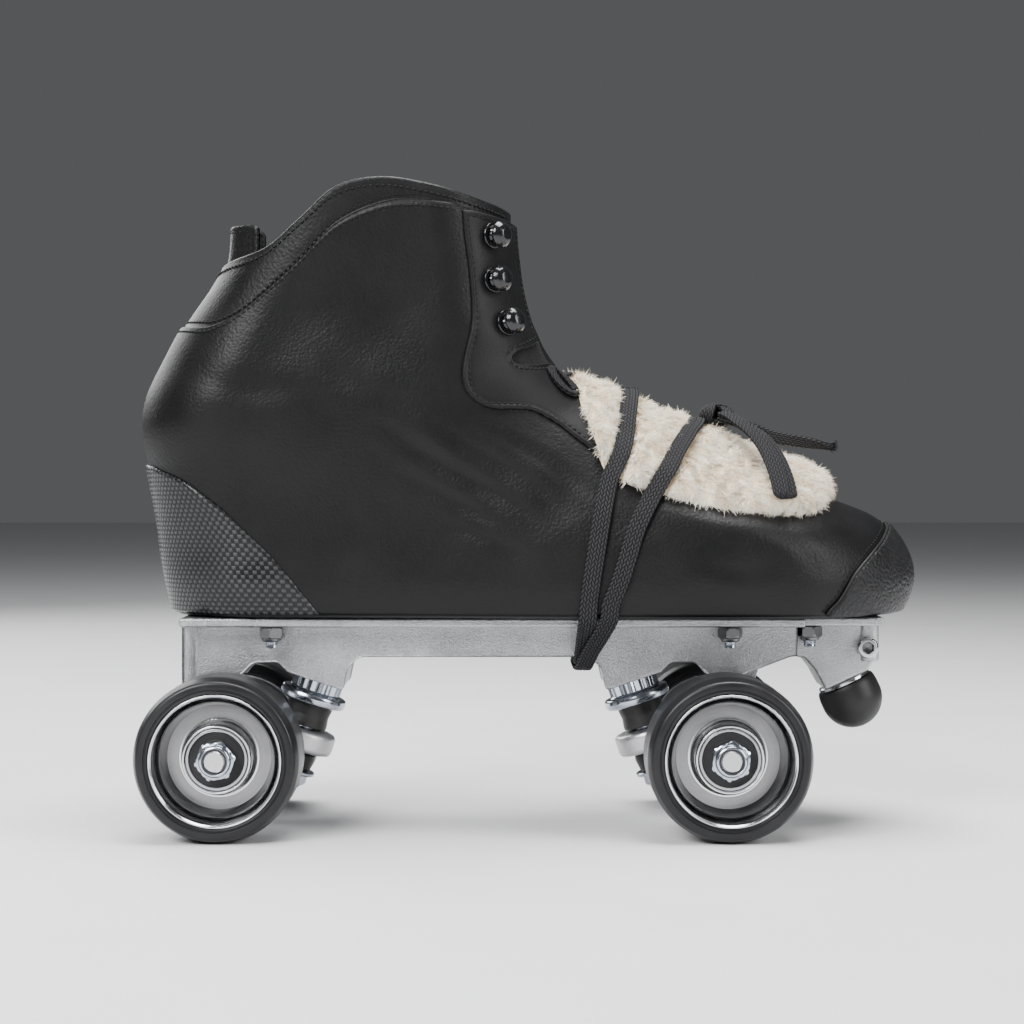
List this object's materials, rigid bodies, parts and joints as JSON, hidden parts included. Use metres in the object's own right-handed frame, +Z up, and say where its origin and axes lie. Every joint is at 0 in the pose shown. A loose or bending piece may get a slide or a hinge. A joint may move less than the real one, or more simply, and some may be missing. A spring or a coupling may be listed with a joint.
{
  "type": "quad roller skate",
  "caption": "Roller skate with a high leather boot on an aluminium channel plate, two cushioned steering trucks, spinning wheels and a ball toe stop.",
  "frame": {"origin": "on the floor under the middle of the skate's bounding box", "axes": "+X towards the toe, +Y towards the inner side of the foot, +Z up"},
  "size_m": [0.2876, 0.118, 0.233],
  "materials": {
    "leather": "smooth black leather, fine grain",
    "toe_leather": "coarse pebbled black leather",
    "carbon": "gloss woven carbon shell",
    "board": "black sole board",
    "fleece": "cream sheepskin pile",
    "lace": "black flat braid",
    "hook_enamel": "gloss black enamel",
    "plate_aluminium": "bead-blasted satin",
    "cast_aluminium": "satin cast",
    "hub_aluminium": "turned bright",
    "zinc_plate": "bright zinc plate",
    "bright_steel": "bright plated steel",
    "bearing_steel": "ground steel with a black seal",
    "rubber": "matt black rubber",
    "cushion_rubber": "black cushion",
    "urethane": "satin black polyurethane"
  },
  "bodies": {
    "boot_and_plate": {"outsole": "board", "boot_upper": "leather", "boot_vamp": "leather", "footbed": "board", "heel_counter": "carbon", "toe_cap": "toe_leather", "tongue": "fleece", "pull_tab": "leather", "outer_facing": "leather", "inner_facing": "leather", "outer_hook_1": "hook_enamel", "outer_hook_2": "hook_enamel", "outer_hook_3": "hook_enamel", "inner_hook_1": "hook_enamel", "inner_hook_2": "hook_enamel", "inner_hook_3": "hook_enamel", "rear_lace_wrap": "lace", "front_lace_wrap": "lace", "bow_loop": "lace", "lace_free_end": "lace", "plate": "plate_aluminium", "mounting_bolt_1": "bright_steel", "mounting_bolt_2": "bright_steel", "mounting_bolt_3": "bright_steel", "mounting_bolt_4": "bright_steel", "mounting_bolt_5": "bright_steel", "mounting_bolt_6": "bright_steel", "clamp_screw": "bright_steel", "rear_kingpin": "zinc_plate", "rear_adjusting_cup": "zinc_plate", "rear_kingpin_nut": "zinc_plate", "rear_upper_cushion": "cushion_rubber", "rear_lower_cushion": "cushion_rubber", "front_kingpin": "zinc_plate", "front_adjusting_cup": "zinc_plate", "front_kingpin_nut": "zinc_plate", "front_upper_cushion": "cushion_rubber", "front_lower_cushion": "cushion_rubber"},
    "toe_stop": {"toe_stop_stem": "bright_steel", "toe_stop_ball": "rubber"},
    "rear_truck": {"rear_hanger": "cast_aluminium", "rear_axle": "bright_steel", "rear_outer_axle_nut": "bright_steel", "rear_inner_axle_nut": "bright_steel"},
    "front_truck": {"front_hanger": "cast_aluminium", "front_axle": "bright_steel", "front_outer_axle_nut": "bright_steel", "front_inner_axle_nut": "bright_steel"},
    "rear_outer_wheel": {"rear_outer_tyre": "urethane", "rear_outer_hub": "hub_aluminium", "rear_outer_bearing": "bearing_steel"},
    "rear_inner_wheel": {"rear_inner_tyre": "urethane", "rear_inner_hub": "hub_aluminium", "rear_inner_bearing": "bearing_steel"},
    "front_outer_wheel": {"front_outer_tyre": "urethane", "front_outer_hub": "hub_aluminium", "front_outer_bearing": "bearing_steel"},
    "front_inner_wheel": {"front_inner_tyre": "urethane", "front_inner_hub": "hub_aluminium", "front_inner_bearing": "bearing_steel"}
  },
  "joints": [
    {"name": "rear_truck_steer", "type": "hinge", "parent": "boot_and_plate", "child": "rear_truck", "pos_m": [-0.08553, 0, 0.03146], "axis": [-0.8049, 0, 0.5934], "range_deg": [-6, 6], "stiffness_Nm_per_rad": 12},
    {"name": "rear_outer_wheel_spin", "type": "hinge", "parent": "rear_truck", "child": "rear_outer_wheel", "pos_m": [-0.1101, -0.042, 0.029], "axis": [0, 1, 0], "continuous": true},
    {"name": "rear_inner_wheel_spin", "type": "hinge", "parent": "rear_truck", "child": "rear_inner_wheel", "pos_m": [-0.1101, 0.042, 0.029], "axis": [0, 1, 0], "continuous": true},
    {"name": "front_truck_steer", "type": "hinge", "parent": "boot_and_plate", "child": "front_truck", "pos_m": [0.04453, 0, 0.03146], "axis": [0.8049, 0, 0.5934], "range_deg": [-6, 6], "stiffness_Nm_per_rad": 12},
    {"name": "front_outer_wheel_spin", "type": "hinge", "parent": "front_truck", "child": "front_outer_wheel", "pos_m": [0.0691, -0.042, 0.029], "axis": [0, 1, 0], "continuous": true},
    {"name": "front_inner_wheel_spin", "type": "hinge", "parent": "front_truck", "child": "front_inner_wheel", "pos_m": [0.0691, 0.042, 0.029], "axis": [0, 1, 0], "continuous": true},
    {"name": "toe_stop_height", "type": "slide", "parent": "boot_and_plate", "child": "toe_stop", "axis": [0.421, 0, -0.907], "range_m": [0, 0.006]}
  ]
}
